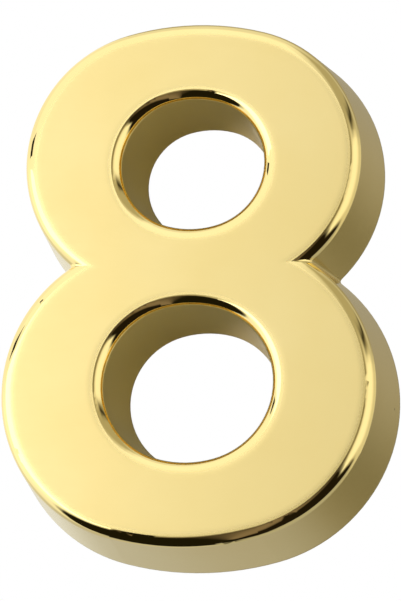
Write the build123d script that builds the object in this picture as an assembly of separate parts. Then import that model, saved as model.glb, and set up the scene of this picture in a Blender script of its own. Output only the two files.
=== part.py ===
from build123d import *
from math import cos, radians, sin, tan
import os

# House number eight: one hollow brass casting with a polished front and two stud blocks behind.
# Sizes are in millimetres and angles in degrees. Stroke and counter sizes hold at the back rim.

# Counters, the two holes of the digit
upper_counter_width = 16.4
upper_counter_height = 14.85
lower_counter_width = 19.8
lower_counter_height = 18.25

# Strokes around the counters
top_stroke = 11.9
upper_side_stroke = 14.55
middle_stroke = 12.0
lower_side_stroke = 15.3
bottom_stroke = 13.0

# How far each bowl runs on into the middle stroke, which sets how deep the waist is nipped
upper_bowl_tail = 11.15
lower_bowl_head = 11.2

# Form of the casting
shoulder_angle = 75.0
depth = 13.2
draft_angle = 4.8
front_edge_radius = 1.25
counter_edge_radius = 1.25
waist_radius = 0.4
rim_width = 2.6
face_skin = 2.2

# Stud blocks, solid across the top and bottom strokes
stud_hole_diameter = 3.3
stud_block_wall = 2.6
hole_end_cover = 1.7

# How far a cutting shape runs past the face that it opens
cut_overrun = 1.0

# Sizes that follow from the ones above
overall_height = bottom_stroke + lower_counter_height + middle_stroke + upper_counter_height + top_stroke
upper_bowl_width = upper_counter_width + 2 * upper_side_stroke
upper_bowl_height = top_stroke + upper_counter_height + upper_bowl_tail
lower_bowl_width = lower_counter_width + 2 * lower_side_stroke
lower_bowl_height = bottom_stroke + lower_counter_height + lower_bowl_head
recess_depth = depth - face_skin
stud_hole_depth = recess_depth - hole_end_cover
stud_block_width = stud_hole_diameter + 2 * stud_block_wall
draft_slope = tan(radians(draft_angle))

# Heights above the foot of the digit
lower_bowl_level = lower_bowl_height / 2
upper_bowl_level = overall_height - upper_bowl_height / 2
lower_counter_level = bottom_stroke + lower_counter_height / 2
upper_counter_level = overall_height - top_stroke - upper_counter_height / 2
lower_stud_level = bottom_stroke / 2
upper_stud_level = overall_height - top_stroke / 2
stud_centre_level = (lower_stud_level + upper_stud_level) / 2
stud_spacing = upper_stud_level - lower_stud_level


def oval(width, height):
    """A four-arc oval: side and top arcs meet smoothly at the shoulder angle above the level line."""
    shoulder = radians(shoulder_angle)
    side_offset = (width - height) / 2 / (1 - (1 - sin(shoulder)) / cos(shoulder))
    side_radius = width / 2 - side_offset
    top_radius = side_radius + side_offset / cos(shoulder)
    top_offset = side_offset * tan(shoulder)
    side_sweep = 2 * shoulder_angle
    top_sweep = 180 - side_sweep
    right = CenterArc((side_offset, 0), side_radius, -shoulder_angle, side_sweep)
    top = CenterArc((0, -top_offset), top_radius, shoulder_angle, top_sweep)
    left = CenterArc((-side_offset, 0), side_radius, 180 - shoulder_angle, side_sweep)
    bottom = CenterArc((0, top_offset), top_radius, 180 + shoulder_angle, top_sweep)
    return make_face([right, top, left, bottom])


def bowl(width, height, level):
    """One bowl of the digit before its counter is cut, narrowing to a front edge that is rolled over."""
    block = Pos(0, level, 0) * extrude(oval(width, height), depth, taper=draft_angle)
    front_edges = block.faces().sort_by(Axis.Z)[-1].edges()
    return fillet(front_edges, front_edge_radius)


def counter(width, height, level):
    """The hole through a bowl, of that size at the back plane and widening past the front."""
    growth = 2 * (depth + cut_overrun) * draft_slope
    length = depth + 2 * cut_overrun
    upside_down = extrude(oval(width + growth, height + growth), length, taper=draft_angle)
    return Pos(0, level, depth + cut_overrun) * Rot(180, 0, 0) * upside_down


def joined_bowls():
    """Both bowls in one, their rolled edges mitred at the waist and the valley softened."""
    upper = bowl(upper_bowl_width, upper_bowl_height, upper_bowl_level)
    lower = bowl(lower_bowl_width, lower_bowl_height, lower_bowl_level)
    digit = upper + lower
    valley_edges = new_edges(upper, lower, combined=digit)
    return fillet(valley_edges, waist_radius)


def outer_form():
    """The digit as seen from outside: both counters cut through, with their front edges rolled over."""
    form = joined_bowls()
    form -= counter(upper_counter_width, upper_counter_height, upper_counter_level)
    form -= counter(lower_counter_width, lower_counter_height, lower_counter_level)
    front_face = form.faces().sort_by(Axis.Z)[-1]
    counter_edges = [edge for wire in front_face.inner_wires() for edge in wire.edges()]
    return fillet(counter_edges, counter_edge_radius)


def straight_oval(width, height, level):
    """An oval block with upright sides, from behind the back plane to the floor of the recess."""
    return Pos(0, level, -cut_overrun) * extrude(oval(width, height), recess_depth + cut_overrun)


def stud_block(level, stroke):
    """The solid block that closes the recess across one stroke and takes a stud."""
    height = recess_depth + 2 * cut_overrun
    return Pos(0, level, recess_depth / 2) * Box(stud_block_width, stroke, height)


def rear_recess():
    """The hollow behind the face, inside a flat rim round the outline and round each counter."""
    rims = 2 * rim_width
    hollow = straight_oval(upper_bowl_width - rims, upper_bowl_height - rims, upper_bowl_level)
    hollow += straight_oval(lower_bowl_width - rims, lower_bowl_height - rims, lower_bowl_level)
    hollow -= straight_oval(upper_counter_width + rims, upper_counter_height + rims, upper_counter_level)
    hollow -= straight_oval(lower_counter_width + rims, lower_counter_height + rims, lower_counter_level)
    hollow -= stud_block(upper_stud_level, top_stroke)
    hollow -= stud_block(lower_stud_level, bottom_stroke)
    return hollow


def stud_hole(level):
    """A blind hole for a threaded stud, drilled from the back."""
    length = stud_hole_depth + cut_overrun
    return Pos(0, level, stud_hole_depth - length / 2) * Cylinder(stud_hole_diameter / 2, length)


def numeral_eight():
    """The whole casting, stood upright with its face to the front and its studs' centre at the origin."""
    casting = outer_form() - rear_recess()
    casting -= stud_hole(upper_stud_level)
    casting -= stud_hole(lower_stud_level)
    return Rot(90, 0, 0) * Pos(0, -stud_centre_level, 0) * casting


os.makedirs("parts", exist_ok=True)
export_step(numeral_eight(), "parts/numeral_eight.step")
print(f"height {overall_height:.2f}, width {lower_bowl_width:.2f}, stud spacing {stud_spacing:.2f}")
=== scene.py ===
# %% [markdown]
# A polished brass house number. The digit arrives as a finished solid with exact surfaces, so
# this lesson is about what makes polished metal look right: a camera at the photograph's viewing
# angle, a small studio for the metal to mirror, and a finish that is not the same all over.

# %% Load the digit
from math import cos, radians, sin, tan

import bpy
import bmesh
from mathutils import Matrix, Quaternion, Vector


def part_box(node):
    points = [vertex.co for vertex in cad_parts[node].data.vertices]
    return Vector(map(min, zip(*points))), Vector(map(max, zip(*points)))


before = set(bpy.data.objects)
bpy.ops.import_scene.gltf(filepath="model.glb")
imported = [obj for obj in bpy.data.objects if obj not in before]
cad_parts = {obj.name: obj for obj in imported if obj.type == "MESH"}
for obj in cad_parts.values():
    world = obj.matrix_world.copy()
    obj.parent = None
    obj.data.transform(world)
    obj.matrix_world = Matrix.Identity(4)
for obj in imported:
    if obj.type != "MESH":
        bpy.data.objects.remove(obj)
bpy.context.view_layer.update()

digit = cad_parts["numeral_eight"]
digit_low, digit_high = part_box("numeral_eight")
digit_size = digit_high - digit_low
print("digit, millimetres:", [round(side * 1000, 2) for side in digit_size])

# %% [markdown]
# The camera. The photograph was taken from a little to the right of the digit and a little below
# it, with a long lens, so that the right-hand and lower side walls show. A camera is easiest to
# read as an aim point, two angles and a distance, so those are the values here, and the place
# and the turn of the camera follow from them.

# %% Camera at the photograph's viewing angle
image_height_pixels = 601
focal_length_pixels = 7500
sensor_millimetres = 36.0
view_azimuth = 11.26
view_elevation = -12.40
view_roll = 1.30
view_distance = 0.9568
aim = Vector((0.00026, (digit_low.y + digit_high.y) / 2, -0.00113))


def direction_at(azimuth, elevation):
    azimuth, elevation = radians(azimuth), radians(elevation)
    return Vector((
        sin(azimuth) * cos(elevation), -cos(azimuth) * cos(elevation), sin(elevation)))


towards_camera = direction_at(view_azimuth, view_elevation)
camera_data = bpy.data.cameras.new("camera")
camera_data.sensor_width = sensor_millimetres
camera_data.lens = focal_length_pixels * sensor_millimetres / image_height_pixels
camera_data.clip_start = 0.05
camera_data.clip_end = 20.0
camera = bpy.data.objects.new("camera", camera_data)
camera.location = aim + towards_camera * view_distance
camera.rotation_mode = "QUATERNION"
level_view = (-towards_camera).to_track_quat("-Z", "Y")
camera.rotation_quaternion = level_view @ Quaternion((0, 0, 1), radians(view_roll))
bpy.context.scene.collection.objects.link(camera)
bpy.context.scene.camera = camera
print("lens, millimetres:", round(camera_data.lens, 1))

# %% [markdown]
# Node helpers. Every finish and the studio are node trees, so a few small helpers keep them short.
# The first adds a node and fills in its inputs, where an input is either a plain value or another
# node's output to link from. The rest use it for sums, blends and smooth ramps. Two more start a
# node group with named sockets and a material.

# %% Helpers for node trees
def add_node(tree, kind, inputs=None, **settings):
    node = tree.nodes.new(kind)
    for name, value in settings.items():
        setattr(node, name, value)
    for key, value in (inputs or {}).items():
        if isinstance(value, bpy.types.NodeSocket):
            tree.links.new(value, node.inputs[key])
        else:
            node.inputs[key].default_value = value
    return node


def calculate(tree, operation, *values):
    node = add_node(tree, "ShaderNodeMath", dict(enumerate(values)), operation=operation)
    return node.outputs[0]


# A Mix node has its factor at input 0, its values at 2 and 3, and its colours at 6 and 7.
def blend_values(tree, factor, first, second):
    return add_node(tree, "ShaderNodeMix", {0: factor, 2: first, 3: second}).outputs[0]


def blend_colours(tree, factor, first, second):
    pair = {0: factor, 6: first, 7: second}
    return add_node(tree, "ShaderNodeMix", pair, data_type="RGBA").outputs[2]


def smooth_ramp(tree, value, from_low, from_high, low=0.0, high=1.0):
    return add_node(tree, "ShaderNodeMapRange", {
        "Value": value, "From Min": from_low, "From Max": from_high,
        "To Min": low, "To Max": high,
    }, interpolation_type="SMOOTHSTEP").outputs["Result"]


def start_group(name, inputs, outputs):
    group = bpy.data.node_groups.new(name, "ShaderNodeTree")
    for socket_name, socket_type in inputs:
        group.interface.new_socket(socket_name, in_out="INPUT", socket_type=socket_type)
    for socket_name, socket_type in outputs:
        group.interface.new_socket(socket_name, in_out="OUTPUT", socket_type=socket_type)
    return group, group.nodes.new("NodeGroupInput"), group.nodes.new("NodeGroupOutput")


def start_material(name):
    material = bpy.data.materials.new(name)
    material.use_nodes = True
    return material, material.node_tree, material.node_tree.nodes["Principled BSDF"]


VALUE = "NodeSocketFloat"
VECTOR = "NodeSocketVector"
print("node helpers ready")

# %% [markdown]
# The studio. Polished metal has almost no colour of its own in shade or light: it shows what is
# around it, tinted gold. The rolled edges of the digit work like a fish-eye mirror and show the
# whole room, so the room has to be right: a white tent, a soft lamp on each side, and the dark
# space below and in front where the camera stands. Real lamps and cards could be modelled, but a
# room that is far away is simplest to paint on the world by direction. Each soft panel is one node
# group, given a place, a size and how soft its edges are, all in degrees.

# %% A soft panel on the sky, as a node group
def make_soft_panel_group():
    settings = ["Azimuth", "Elevation", "Panel Azimuth", "Panel Elevation", "Half Width",
                "Half Height", "Lean", "Slope", "Side Softness", "Top Softness"]
    group, start, end = start_group(
        "Soft Panel", [(name, VALUE) for name in settings], [("Mask", VALUE)])
    given = start.outputs
    rise = calculate(group, "SUBTRACT", given["Elevation"], given["Panel Elevation"])
    leaning = calculate(group, "MULTIPLY", rise, given["Lean"])
    across = calculate(group, "SUBTRACT", given["Azimuth"], given["Panel Azimuth"])
    across = calculate(group, "SUBTRACT", across, leaning)
    across = calculate(group, "WRAP", across, 180.0, -180.0)
    sloping = calculate(group, "MULTIPLY", across, given["Slope"])
    rise = calculate(group, "SUBTRACT", rise, sloping)

    def inside(distance, half_size, softness):
        outer = calculate(group, "ADD", half_size, softness)
        inner = calculate(group, "SUBTRACT", half_size, softness)
        return smooth_ramp(group, calculate(group, "ABSOLUTE", distance), outer, inner)

    side = inside(across, given["Half Width"], given["Side Softness"])
    top = inside(rise, given["Half Height"], given["Top Softness"])
    mask = calculate(group, "MULTIPLY", side, top)
    group.links.new(mask, end.inputs["Mask"])
    return group


soft_panel = make_soft_panel_group()
print("soft panel inputs:", len(soft_panel.interface.items_tree) - 1)

# %% [markdown]
# The panels are laid one over another, from the walls of the tent to the lamps. Azimuth 0 is
# straight in front of the digit and grows to its right, elevation 0 is level. Each line gives
# the panel's azimuth and elevation, half its width and height, how far its sides lean, how far
# its top slopes, how soft its sides and its top are, and its colour, where 1 is white. The camera
# looks past all of this to plain white, which is the background.

# %% The studio that the metal mirrors
room_colour = (1.02, 1.03, 1.02)
studio_panels = {
    "top of the tent": (0, 90, 200, 26, 0.0, 0.0, 3, 10, (0.86, 0.86, 0.84)),
    "rear of the tent": (-170, -25, 24, 24, 0.0, 0.0, 16, 22, (0.44, 0.44, 0.37)),
    "floor of the tent": (-150, -42, 52, 28, 0.0, 0.0, 24, 20, (0.56, 0.56, 0.58)),
    "right wall": (90, 12, 98, 56, 0.70, 0.0, 8, 12, (0.46, 0.43, 0.33)),
    "right wall, far end": (114, 34, 18, 34, 0.0, -0.3, 14, 10, (0.58, 0.57, 0.53)),
    "rear right wall": (160, 14, 30, 34, 0.0, -0.3, 12, 14, (0.37, 0.34, 0.26)),
    "floor on the right": (142, -50, 44, 28, 0.0, 0.0, 12, 8, (0.46, 0.46, 0.45)),
    "dark floor on the right": (140, -86, 60, 14, 0.0, 0.0, 10, 6, (0.06, 0.055, 0.05)),
    "straight below": (0, -90, 200, 15, 0.0, 0.0, 3, 4, (0.012, 0.010, 0.004)),
    "spill of the right lamp": (100, -1, 48, 23, 0.0, 0.0, 8, 5, (0.74, 0.71, 0.60)),
    "dim corner behind on the right": (159, -9, 16, 14, 0.0, 0.0, 12, 14, (0.22, 0.20, 0.13)),
    "left window": (-58, -3, 41, 17, 0.0, 0.0, 3.5, 9, (1.20, 1.22, 1.20)),
    "right lamp": (50, 1, 38, 22, 0.0, 0.12, 24, 5, (1.14, 1.12, 1.04)),
    "shade over the right lamp": (62, 33, 32, 3.5, 0.0, 0.26, 14, 5, (0.02, 0.016, 0.005)),
    "dark below on the left": (-47, -64, 50, 40, 0.0, 0.55, 5, 4, (0.012, 0.010, 0.004)),
    "dark floor on the left": (-130, -80, 52, 23, 0.0, 0.0, 8, 4, (0.012, 0.010, 0.004)),
    "dark below on the right": (50, -58, 50, 34, 0.0, 0.0, 8, 4, (0.014, 0.010, 0.005)),
    "dim in front": (3, 8, 8, 9, 0.0, 0.0, 4, 7, (0.30, 0.27, 0.18)),
    "dark in front": (22, -40, 25, 31, 0.0, -0.68, 3, 3, (0.014, 0.010, 0.005)),
    "warm front": (3, -42, 7, 40, -0.10, 0.0, 5, 10, (0.23, 0.18, 0.14)),
}
panel_inputs = ["Panel Azimuth", "Panel Elevation", "Half Width", "Half Height", "Lean",
                "Slope", "Side Softness", "Top Softness"]


def make_studio():
    world = bpy.data.worlds.new("studio")
    world.use_nodes = True
    tree = world.node_tree
    tree.nodes.clear()
    direction = add_node(tree, "ShaderNodeTexCoord").outputs["Generated"]
    axes = add_node(tree, "ShaderNodeSeparateXYZ", {"Vector": direction}).outputs
    forward = calculate(tree, "MULTIPLY", axes["Y"], -1.0)
    azimuth = calculate(tree, "DEGREES", calculate(tree, "ARCTAN2", axes["X"], forward))
    elevation = calculate(tree, "DEGREES", calculate(tree, "ARCSINE", axes["Z"]))
    light = add_node(tree, "ShaderNodeRGB").outputs[0]
    light.default_value = (*room_colour, 1.0)
    for name, (*sizes, colour) in studio_panels.items():
        panel = add_node(tree, "ShaderNodeGroup", {
            "Azimuth": azimuth, "Elevation": elevation, **dict(zip(panel_inputs, sizes)),
        }, node_tree=soft_panel, label=name)
        light = blend_colours(tree, panel.outputs["Mask"], light, (*colour, 1.0))
    studio_light = add_node(tree, "ShaderNodeBackground", {"Color": light, "Strength": 1.0})
    white = add_node(tree, "ShaderNodeBackground", {"Color": (1, 1, 1, 1), "Strength": 1.0})
    path = add_node(tree, "ShaderNodeLightPath").outputs
    looking = calculate(tree, "MAXIMUM", path["Is Camera Ray"], path["Is Transmission Ray"])
    seen = add_node(tree, "ShaderNodeMixShader", {
        "Fac": looking,
        1: studio_light.outputs["Background"],
        2: white.outputs["Background"],
    })
    add_node(tree, "ShaderNodeOutputWorld", {"Surface": seen.outputs["Shader"]})
    return world


bpy.context.scene.world = make_studio()
bpy.context.scene.view_settings.view_transform = "Standard"
print("studio panels:", len(studio_panels))

# %% [markdown]
# The soft boxes. Two bright sheets stand close to the digit on the left, so the face is brightest
# on that side and falls away to the right, and a narrow dark flag between them draws the thin dark
# line on the left rolled edge. A sheet painted on the world could not do that, because it would be
# seen at the same angle from every point of the face. Each line gives a sheet's azimuth, elevation
# and distance, its width and height, and how bright it is.

# %% Bright sheets close by
soft_boxes = {
    "left lamp": (-37, 2, 0.28, 0.215, 0.119, 2.0),
    "flag over the left lamp": (-56, 20, 0.29, 0.120, 0.028, 0.02),
    "front sheet": (-31, 34, 0.30, 0.300, 0.280, 1.15),
}


def make_lit_sheet(name, brightness):
    material, _, shader = start_material(name)
    shader.inputs["Base Color"].default_value = (0, 0, 0, 1)
    shader.inputs["Specular IOR Level"].default_value = 0.0
    shader.inputs["Emission Color"].default_value = (1, 1, 1, 1)
    shader.inputs["Emission Strength"].default_value = brightness
    return material


def place_sheet(name, shape, material):
    mesh = bpy.data.meshes.new(name)
    shape.to_mesh(mesh)
    shape.free()
    mesh.materials.append(material)
    sheet = bpy.data.objects.new(name, mesh)
    bpy.context.scene.collection.objects.link(sheet)
    return sheet


for name, (azimuth, elevation, distance, width, height, brightness) in soft_boxes.items():
    outward = direction_at(azimuth, elevation)
    turn = (-outward).to_track_quat("-Z", "Y").to_matrix()
    panel = bmesh.new()
    bmesh.ops.create_grid(panel, x_segments=1, y_segments=1, size=0.5)
    bmesh.ops.scale(panel, verts=panel.verts, vec=(width, height, 1.0))
    bmesh.ops.rotate(panel, verts=panel.verts, cent=(0, 0, 0), matrix=turn)
    bmesh.ops.translate(panel, verts=panel.verts, vec=outward * distance)
    soft_box = place_sheet(name, panel, make_lit_sheet(name, brightness))
    soft_box.visible_camera = False
print("soft boxes:", list(soft_boxes))

# %% [markdown]
# The floor. A house number hangs at eye height, so the floor is a plain pale sheet well below it.
# It is kept out of the metal's mirror image, where the studio's own panels do that work.

# %% Pale floor
floor_drop = 1.3
floor_half_size = 4.0


def make_pale_floor():
    material, _, shader = start_material("pale_floor")
    shader.inputs["Base Color"].default_value = (0.92, 0.92, 0.91, 1.0)
    shader.inputs["Roughness"].default_value = 0.8
    return material


ground = bmesh.new()
bmesh.ops.create_grid(ground, x_segments=1, y_segments=1, size=floor_half_size)
bmesh.ops.translate(ground, verts=ground.verts, vec=(0, 0, digit_low.z - floor_drop))
floor = place_sheet("floor", ground, make_pale_floor())
floor.visible_glossy = False
print("floor at", round(digit_low.z - floor_drop, 3))

# %% [markdown]
# The sheet behind the counters. The digit lies against a pale sheet, and what a counter's walls
# mirror is the part of that sheet inside the hole, which is in shade. Only that part matters, so
# each counter gets an oval of card at the back plane whose colour holds painted shade and light: a
# painted grey on the left for the shade in the hole, and a painted near-white on the right for the
# left lamp's light reaching in. The camera looks past the ovals, and the metal mirrors them.

# %% Card with painted shade and light inside the counters
card_gap = 0.0012
# Painted shade and painted light: the card's grey and near-white colours stand in for the shade in
# the hole and the lamp's light.
painted_shade_card = (0.47, 0.47, 0.37, 1.0)
painted_lit_card = (0.98, 0.98, 0.96, 1.0)
painted_shade_ends, painted_light_full = 0.0, 0.006
counter_ovals = {
    "upper card": (0.01540, 0.0164, 0.01485),
    "lower card": (-0.01315, 0.0198, 0.01825),
}


def make_card_with_painted_shade():
    material, tree, shader = start_material("card_with_painted_shade")
    place = add_node(tree, "ShaderNodeTexCoord").outputs["Object"]
    across = add_node(tree, "ShaderNodeSeparateXYZ", {"Vector": place}).outputs["X"]
    # Painted light: the card's colour ramps from painted shade on the left to painted light on the
    # right.
    lit = smooth_ramp(tree, across, painted_shade_ends, painted_light_full)
    tree.links.new(blend_colours(tree, lit, painted_shade_card, painted_lit_card), shader.inputs["Base Color"])
    shader.inputs["Roughness"].default_value = 0.9
    shader.inputs["Specular IOR Level"].default_value = 0.0
    return material


card_with_painted_shade = make_card_with_painted_shade()
upright = Matrix.Rotation(radians(90), 3, "X")
for name, (level, width, height) in counter_ovals.items():
    oval = bmesh.new()
    bmesh.ops.create_circle(oval, cap_ends=True, segments=96, radius=0.5)
    bmesh.ops.scale(oval, verts=oval.verts, vec=(width, height, 1.0))
    bmesh.ops.rotate(oval, verts=oval.verts, cent=(0, 0, 0), matrix=upright)
    bmesh.ops.translate(oval, verts=oval.verts, vec=(0, digit_high.y + card_gap, level))
    card = place_sheet(name, oval, card_with_painted_shade)
    card.visible_camera = False
print("cards:", list(counter_ovals))

# %% [markdown]
# The finish. The rolled edges are mirror-bright, the flat face has a fine satin sheen, and the
# sides are softer than the rolls, because the mop reaches them less well. The polish is not even:
# the surface waves a little over a few millimetres, the mop leaves hair-fine marks that blur the
# reflections here and there, and the odd speck of dust is caught in the lacquer. The hollow behind
# is left as it was cast, dull and grainy. Each of these effects is a node group of its own, and
# one material lays them over each other.

# %% Marks that the polishing leaves, as a node group
def make_polish_group():
    group, start, end = start_group(
        "Polish Marks", [("Position", VECTOR)],
        [("Cloud", VALUE), ("Marks", VALUE), ("Wave", VALUE), ("Specks", VALUE)])
    place = start.outputs["Position"]
    cloud = add_node(group, "ShaderNodeTexNoise", {
        "Vector": place, "Scale": 70.0, "Detail": 3.0, "Roughness": 0.5})
    stretched = add_node(group, "ShaderNodeMapping", {
        "Vector": place, "Rotation": (0.0, radians(24), 0.0), "Scale": (1.0, 1.0, 14.0)})
    marks = add_node(group, "ShaderNodeTexNoise", {
        "Vector": stretched.outputs["Vector"], "Scale": 420.0, "Detail": 5.0, "Roughness": 0.65})
    wave = add_node(group, "ShaderNodeTexNoise", {
        "Vector": place, "Scale": 240.0, "Detail": 2.0, "Roughness": 0.4})
    speck_size = 0.010
    cells = add_node(group, "ShaderNodeTexVoronoi", {"Vector": place, "Scale": 60.0})
    near = calculate(group, "LESS_THAN", cells.outputs["Distance"], speck_size)
    group.links.new(cloud.outputs[0], end.inputs["Cloud"])
    group.links.new(marks.outputs[0], end.inputs["Marks"])
    group.links.new(wave.outputs[0], end.inputs["Wave"])
    group.links.new(near, end.inputs["Specks"])
    return group


polish_marks = make_polish_group()
print("polish outputs:", [item.name for item in polish_marks.interface.items_tree][:4])

# %% [markdown]
# Where the edges are. A polishing mop rounds over whatever it meets, so the flat face starts to
# fall away a millimetre before the rolled edge, and there the polish is at its brightest. To find
# that border the finish needs the distance to the nearest edge. The bowls and the counters are
# ovals of four arcs, so one node group measures the distance to such an oval, and is used four
# times.

# %% Distance to an oval of four arcs, as a node group
shoulder_angle = radians(75)


def make_oval_distance_group():
    sizes = ["Level", "Side Offset", "Side Radius", "Top Offset", "Top Radius"]
    group, start, end = start_group(
        "Oval Distance", [("Position", VECTOR)] + [(name, VALUE) for name in sizes],
        [("Distance", VALUE)])
    given = start.outputs
    axes = add_node(group, "ShaderNodeSeparateXYZ", {"Vector": given["Position"]}).outputs
    across = calculate(group, "ABSOLUTE", axes["X"])
    up = calculate(group, "ABSOLUTE", calculate(group, "SUBTRACT", axes["Z"], given["Level"]))
    beside = calculate(group, "SUBTRACT", across, given["Side Offset"])
    above = calculate(group, "ADD", up, given["Top Offset"])

    def length(first, second):
        squares = [calculate(group, "MULTIPLY", side, side) for side in (first, second)]
        return calculate(group, "SQRT", calculate(group, "ADD", *squares))

    to_side = calculate(group, "SUBTRACT", length(beside, up), given["Side Radius"])
    to_top = calculate(group, "SUBTRACT", length(across, above), given["Top Radius"])
    along = calculate(group, "MULTIPLY", beside, sin(shoulder_angle))
    rise = calculate(group, "MULTIPLY", up, cos(shoulder_angle))
    on_side = calculate(group, "GREATER_THAN", along, rise)
    distance = blend_values(group, on_side, to_top, to_side)
    group.links.new(distance, end.inputs["Distance"])
    return group


oval_distance = make_oval_distance_group()
print("oval distance inputs:", [item.name for item in oval_distance.interface.items_tree][1:])

# %% [markdown]
# The eased edges. Each oval is given where the flat face ends, which is the oval at the back plane
# moved by the draft and by the rolled edge. The face lies outside both counters and inside either
# bowl. From the distance to that border come a mask of the flat face and a slight fall in height.
# The back edge of the walls is eased in the same way, by how near it is to the back plane. The
# distances are in metres, and the two falls count in hundredths of a millimetre.

# %% Face mask and eased edges, as a node group
edge_shift = 0.00226
face_ovals = {
    "upper counter": (0.01540, 0.01640 + 2 * edge_shift, 0.01485 + 2 * edge_shift),
    "lower counter": (-0.01315, 0.01980 + 2 * edge_shift, 0.01825 + 2 * edge_shift),
    "upper bowl": (0.01578, 0.04550 - 2 * edge_shift, 0.03790 - 2 * edge_shift),
    "lower bowl": (-0.01405, 0.05040 - 2 * edge_shift, 0.04245 - 2 * edge_shift),
}
face_starts, face_is_full = -0.0003, 0.0006
easing_ends, easing_starts, front_drop = -0.0004, 0.0009, 2.6
back_easing, back_drop = 0.0004, 4.0
bump_unit = 0.00001


def make_eased_edges_group():
    group, start, end = start_group(
        "Eased Edges", [("Position", VECTOR)], [("Face", VALUE), ("Height", VALUE)])
    place = start.outputs["Position"]
    gaps = {}
    for name, (level, width, height) in face_ovals.items():
        side_offset = (width - height) / 2 / (1 - (1 - sin(shoulder_angle)) / cos(shoulder_angle))
        side_radius = width / 2 - side_offset
        gaps[name] = add_node(group, "ShaderNodeGroup", {
            "Position": place, "Level": level,
            "Side Offset": side_offset, "Side Radius": side_radius,
            "Top Offset": side_offset * tan(shoulder_angle),
            "Top Radius": side_radius + side_offset / cos(shoulder_angle),
        }, node_tree=oval_distance, label=name).outputs["Distance"]
    outside_counters = calculate(group, "MINIMUM", gaps["upper counter"], gaps["lower counter"])
    outside_bowls = calculate(group, "MINIMUM", gaps["upper bowl"], gaps["lower bowl"])
    inside_bowls = calculate(group, "MULTIPLY", outside_bowls, -1.0)
    border = calculate(group, "MINIMUM", outside_counters, inside_bowls)
    back = add_node(group, "ShaderNodeSeparateXYZ", {"Vector": place}).outputs["Y"]
    face = smooth_ramp(group, border, face_starts, face_is_full)
    front_fall = smooth_ramp(group, border, easing_ends, easing_starts, -front_drop, 0.0)
    back_fall = smooth_ramp(group, back, -back_easing, 0.0, 0.0, -back_drop)
    group.links.new(face, end.inputs["Face"])
    group.links.new(calculate(group, "ADD", front_fall, back_fall), end.inputs["Height"])
    return group


eased_edges = make_eased_edges_group()
print("eased edges outputs:", [item.name for item in eased_edges.interface.items_tree][:2])

# %% [markdown]
# Which surfaces are polished. The outside walls and the counters lean forward by the casting's
# draft, while the hollow's walls stand straight and its floor faces back. So the way a surface
# faces, read from its normal, tells polished metal from bare casting with no painted mask.

# %% Mask of the sides and of the bare casting, as a node group
def make_casting_group():
    group, start, end = start_group(
        "Bare Casting", [("Position", VECTOR), ("Normal", VECTOR)],
        [("Mask", VALUE), ("Grain", VALUE), ("Sides", VALUE)])
    facing = add_node(group, "ShaderNodeSeparateXYZ", {"Vector": start.outputs["Normal"]})
    for name, from_low, from_high in (("Mask", -0.055, -0.035), ("Sides", -0.30, -0.15)):
        part = add_node(group, "ShaderNodeMapRange", {
            "Value": facing.outputs["Y"], "From Min": from_low, "From Max": from_high})
        group.links.new(part.outputs["Result"], end.inputs[name])
    grain = add_node(group, "ShaderNodeTexNoise", {
        "Vector": start.outputs["Position"], "Scale": 1600.0, "Detail": 4.0, "Roughness": 0.6})
    group.links.new(grain.outputs[0], end.inputs["Grain"])
    return group


bare_casting = make_casting_group()
print("casting outputs:", [item.name for item in bare_casting.interface.items_tree][:3])

# %% [markdown]
# The brass itself. One material covers the whole casting, as one piece of metal does. Its colour is
# a pale lacquered gold that deepens a little in soft clouds, its roughness is chosen part by part,
# and all the fine heights go through a single bump, so that they add up like real ones.

# %% Polished brass
gold = (0.975, 0.800, 0.362, 1.0)
deep_gold = (0.955, 0.770, 0.325, 1.0)
speck_colour = (0.30, 0.22, 0.08, 1.0)
cast_brass = (0.42, 0.31, 0.14, 1.0)
cast_brass_pale = (0.62, 0.48, 0.25, 1.0)
wave_share, grain_share = 0.5, 1.5


def remap(tree, value, low, high, from_low=0.3, from_high=0.7):
    return add_node(tree, "ShaderNodeMapRange", {
        "Value": value, "From Min": from_low, "From Max": from_high, "To Min": low, "To Max": high,
    }).outputs["Result"]


def make_polished_brass():
    material, tree, shader = start_material("polished_brass_finish")
    shader.inputs["Metallic"].default_value = 1.0
    coordinates = add_node(tree, "ShaderNodeTexCoord").outputs
    polish = add_node(tree, "ShaderNodeGroup", {0: coordinates["Object"]}, node_tree=polish_marks)
    casting = add_node(tree, "ShaderNodeGroup", {
        0: coordinates["Object"], 1: coordinates["Normal"]}, node_tree=bare_casting)
    edges = add_node(tree, "ShaderNodeGroup", {0: coordinates["Object"]}, node_tree=eased_edges)

    tone = blend_colours(tree, remap(tree, polish.outputs["Cloud"], 0.0, 1.0), gold, deep_gold)
    tone = blend_colours(tree, polish.outputs["Specks"], tone, speck_colour)
    grain_tone = blend_colours(tree, casting.outputs["Grain"], cast_brass, cast_brass_pale)
    colour = blend_colours(tree, casting.outputs["Mask"], tone, grain_tone)
    tree.links.new(colour, shader.inputs["Base Color"])

    marks, grain = polish.outputs["Marks"], casting.outputs["Grain"]
    roughness = remap(tree, marks, 0.012, 0.035)
    for part, texture, low, high in (
            (edges.outputs["Face"], marks, 0.31, 0.38),
            (casting.outputs["Sides"], marks, 0.14, 0.20),
            (casting.outputs["Mask"], grain, 0.38, 0.55)):
        own_roughness = remap(tree, texture, low, high)
        roughness = blend_values(tree, part, roughness, own_roughness)
    tree.links.new(roughness, shader.inputs["Roughness"])

    wave_height = calculate(tree, "MULTIPLY", polish.outputs["Wave"], wave_share)
    polished_height = calculate(tree, "ADD", wave_height, edges.outputs["Height"])
    rough_height = calculate(tree, "MULTIPLY", grain, grain_share)
    height = blend_values(tree, casting.outputs["Mask"], polished_height, rough_height)
    bump = add_node(tree, "ShaderNodeBump", {
        "Height": height, "Strength": 1.0, "Distance": bump_unit})
    tree.links.new(bump.outputs["Normal"], shader.inputs["Normal"])
    return material


digit.material_slots[0].material = make_polished_brass()
print("finish on the digit:", digit.material_slots[0].material.name)
